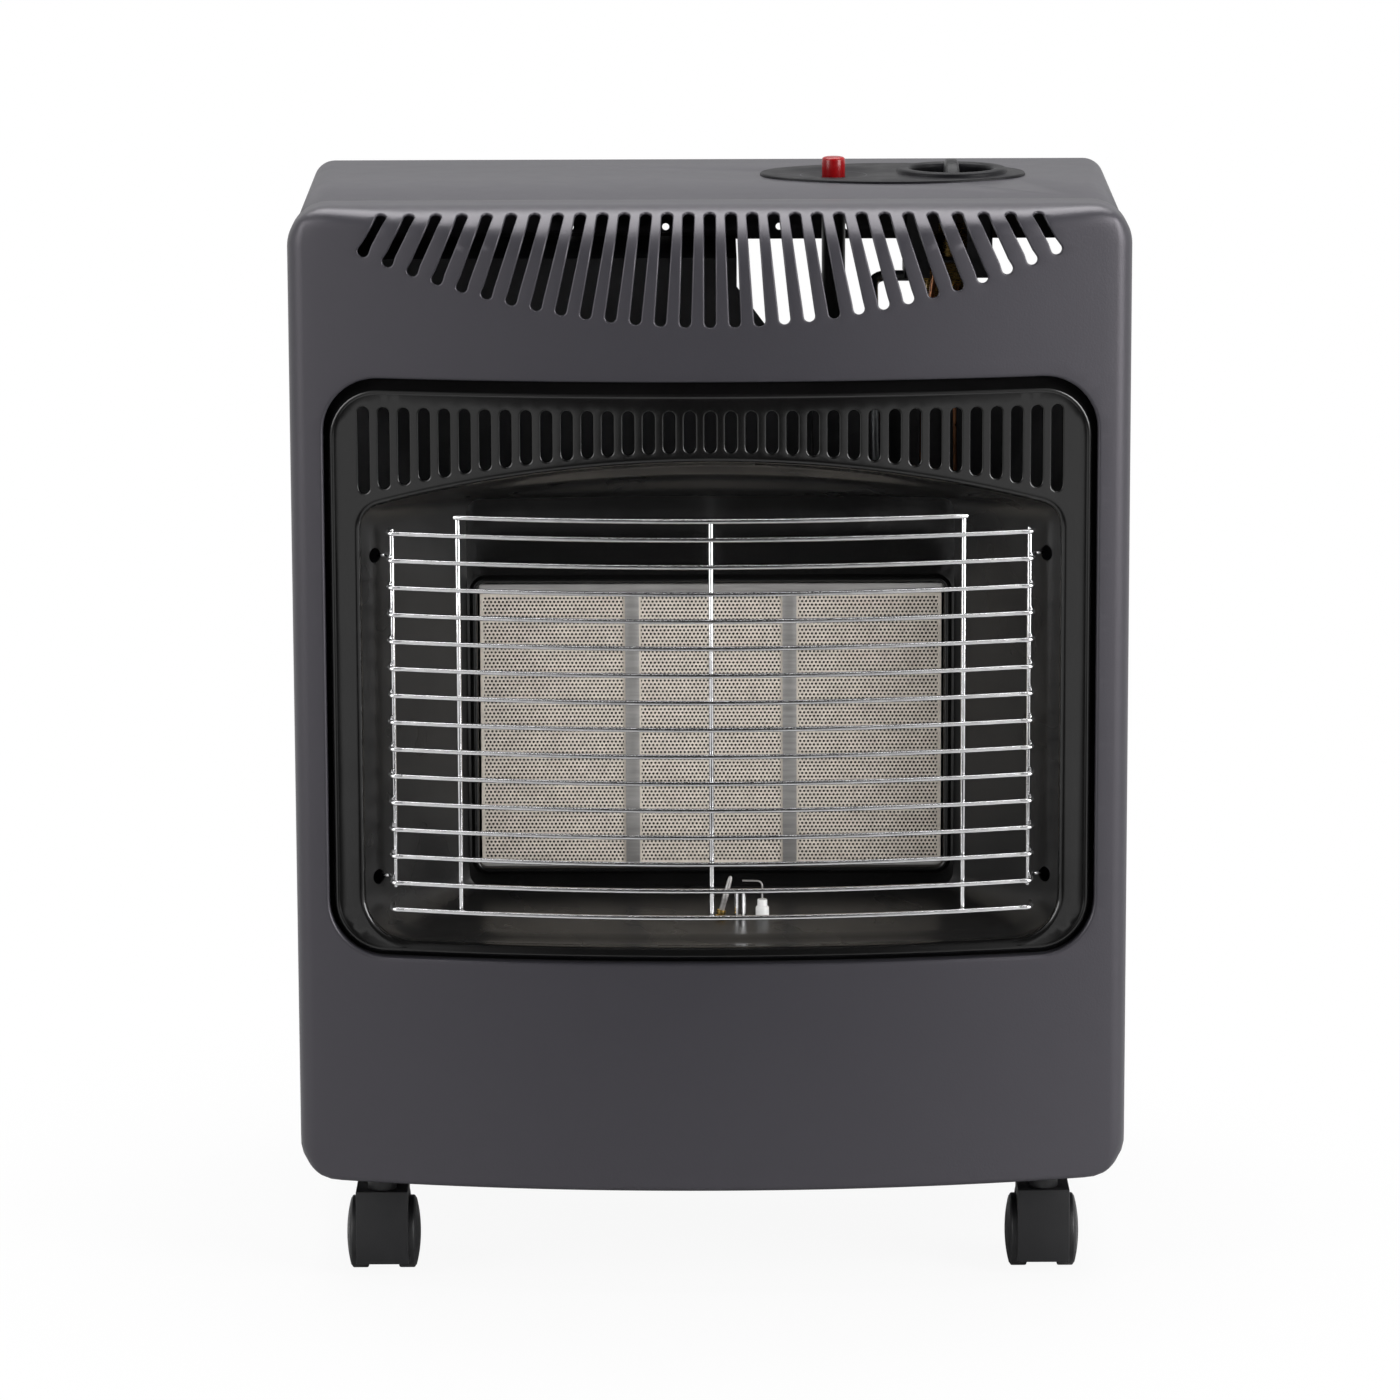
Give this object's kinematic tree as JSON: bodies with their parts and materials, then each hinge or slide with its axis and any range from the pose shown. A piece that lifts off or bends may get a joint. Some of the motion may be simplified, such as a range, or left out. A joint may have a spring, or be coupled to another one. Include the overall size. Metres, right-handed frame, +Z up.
{
  "type": "gas cabinet heater",
  "caption": "Mobile cabinet heater with ceramic plaques behind a wire guard in an enamelled firebox, slotted bowed front, knob and igniter on top, rear cover and castors.",
  "frame": {"origin": "middle of the heater in plan, on the floor", "axes": "+Z up, -Y towards the front panel, +X to the right as seen by someone facing the front"},
  "size_m": [0.45, 0.3932, 0.6],
  "materials": {
    "paint_grey": "satin",
    "enamel_black": "gloss",
    "shield_black": "matte",
    "guard_chrome": "polished",
    "steel": "satin",
    "zinc": "satin",
    "plaque_ceramic": "matte",
    "brass": "satin",
    "copper": "satin",
    "white_ceramic": "gloss",
    "knob_dark": "satin",
    "button_red": "gloss",
    "lead_black": "matte",
    "piezo_black": "satin",
    "castor_black": "satin"
  },
  "bodies": {
    "cabinet": {"front_panel": "paint_grey", "cabinet_shell": "paint_grey", "base_tray": "paint_grey", "heat_shield": "shield_black", "cabinet_screws": "zinc", "enamel_surround": "enamel_black", "firebox_liner": "enamel_black", "burner_frame": "steel", "plaque_left": "plaque_ceramic", "plaque_centre": "plaque_ceramic", "plaque_right": "plaque_ceramic", "burner_housing": "zinc", "venturi_tubes": "zinc", "gas_rail": "zinc", "rail_straps": "zinc", "injectors": "brass", "wire_guard": "guard_chrome", "pilot_bracket": "zinc", "pilot_burner": "guard_chrome", "thermocouple": "steel", "electrode_ceramic": "white_ceramic", "electrode_wire": "guard_chrome", "pilot_pipe": "copper", "control_plate": "paint_grey", "gas_valve": "brass", "valve_bracket": "zinc", "gas_pipe": "zinc", "inlet_connector": "brass", "piezo_igniter": "piezo_black", "ignition_lead": "lead_black", "thermocouple_lead": "copper", "castor_stems": "steel"},
    "cover": {"rear_cover": "paint_grey", "cover_studs": "zinc"},
    "plug": {"valve_plug": "brass"},
    "knob": {"control_knob": "knob_dark", "valve_spindle": "steel"},
    "button": {"ignition_button": "button_red"},
    "castor_fl": {"castor_fl_hood": "castor_black", "castor_fl_axle": "steel"},
    "wheel_fl_l": {"castor_fl_wheel_l": "castor_black"},
    "wheel_fl_r": {"castor_fl_wheel_r": "castor_black"},
    "castor_fr": {"castor_fr_hood": "castor_black", "castor_fr_axle": "steel"},
    "wheel_fr_l": {"castor_fr_wheel_l": "castor_black"},
    "wheel_fr_r": {"castor_fr_wheel_r": "castor_black"},
    "castor_rl": {"castor_rl_hood": "castor_black", "castor_rl_axle": "steel"},
    "wheel_rl_l": {"castor_rl_wheel_l": "castor_black"},
    "wheel_rl_r": {"castor_rl_wheel_r": "castor_black"},
    "castor_rr": {"castor_rr_hood": "castor_black", "castor_rr_axle": "steel"},
    "wheel_rr_l": {"castor_rr_wheel_l": "castor_black"},
    "wheel_rr_r": {"castor_rr_wheel_r": "castor_black"}
  },
  "joints": [
    {"name": "knob_turn", "type": "hinge", "parent": "cabinet", "child": "plug", "pos_m": [0.1335, -0.02535, 0.534], "axis": [0, 0, 1], "range_deg": [0, 210]},
    {"name": "knob_push", "type": "slide", "parent": "plug", "child": "knob", "axis": [0, 0, -1], "range_m": [0, 0.004], "stiffness_N_per_m": 2000, "springref_m": -0.0005},
    {"name": "button_press", "type": "slide", "parent": "cabinet", "child": "button", "axis": [0, 0, -1], "range_m": [0, 0.006], "stiffness_N_per_m": 900, "springref_m": -0.0005},
    {"name": "cover_pull", "type": "slide", "parent": "cabinet", "child": "cover", "axis": [0, 1, 0], "range_m": [0, 0.15]},
    {"name": "castor_fl_swivel", "type": "hinge", "parent": "cabinet", "child": "castor_fl", "pos_m": [-0.181, -0.15085, 0.045], "axis": [0, 0, 1], "continuous": true},
    {"name": "wheel_fl_l_spin", "type": "hinge", "parent": "castor_fl", "child": "wheel_fl_l", "pos_m": [-0.181, -0.13685, 0.02], "axis": [1, 0, 0], "continuous": true},
    {"name": "wheel_fl_r_spin", "type": "hinge", "parent": "castor_fl", "child": "wheel_fl_r", "pos_m": [-0.181, -0.13685, 0.02], "axis": [1, 0, 0], "continuous": true},
    {"name": "castor_fr_swivel", "type": "hinge", "parent": "cabinet", "child": "castor_fr", "pos_m": [0.181, -0.15085, 0.045], "axis": [0, 0, 1], "continuous": true},
    {"name": "wheel_fr_l_spin", "type": "hinge", "parent": "castor_fr", "child": "wheel_fr_l", "pos_m": [0.181, -0.13685, 0.02], "axis": [1, 0, 0], "continuous": true},
    {"name": "wheel_fr_r_spin", "type": "hinge", "parent": "castor_fr", "child": "wheel_fr_r", "pos_m": [0.181, -0.13685, 0.02], "axis": [1, 0, 0], "continuous": true},
    {"name": "castor_rl_swivel", "type": "hinge", "parent": "cabinet", "child": "castor_rl", "pos_m": [-0.181, 0.12915, 0.045], "axis": [0, 0, 1], "continuous": true},
    {"name": "wheel_rl_l_spin", "type": "hinge", "parent": "castor_rl", "child": "wheel_rl_l", "pos_m": [-0.181, 0.14315, 0.02], "axis": [1, 0, 0], "continuous": true},
    {"name": "wheel_rl_r_spin", "type": "hinge", "parent": "castor_rl", "child": "wheel_rl_r", "pos_m": [-0.181, 0.14315, 0.02], "axis": [1, 0, 0], "continuous": true},
    {"name": "castor_rr_swivel", "type": "hinge", "parent": "cabinet", "child": "castor_rr", "pos_m": [0.181, 0.12915, 0.045], "axis": [0, 0, 1], "continuous": true},
    {"name": "wheel_rr_l_spin", "type": "hinge", "parent": "castor_rr", "child": "wheel_rr_l", "pos_m": [0.181, 0.14315, 0.02], "axis": [1, 0, 0], "continuous": true},
    {"name": "wheel_rr_r_spin", "type": "hinge", "parent": "castor_rr", "child": "wheel_rr_r", "pos_m": [0.181, 0.14315, 0.02], "axis": [1, 0, 0], "continuous": true}
  ]
}
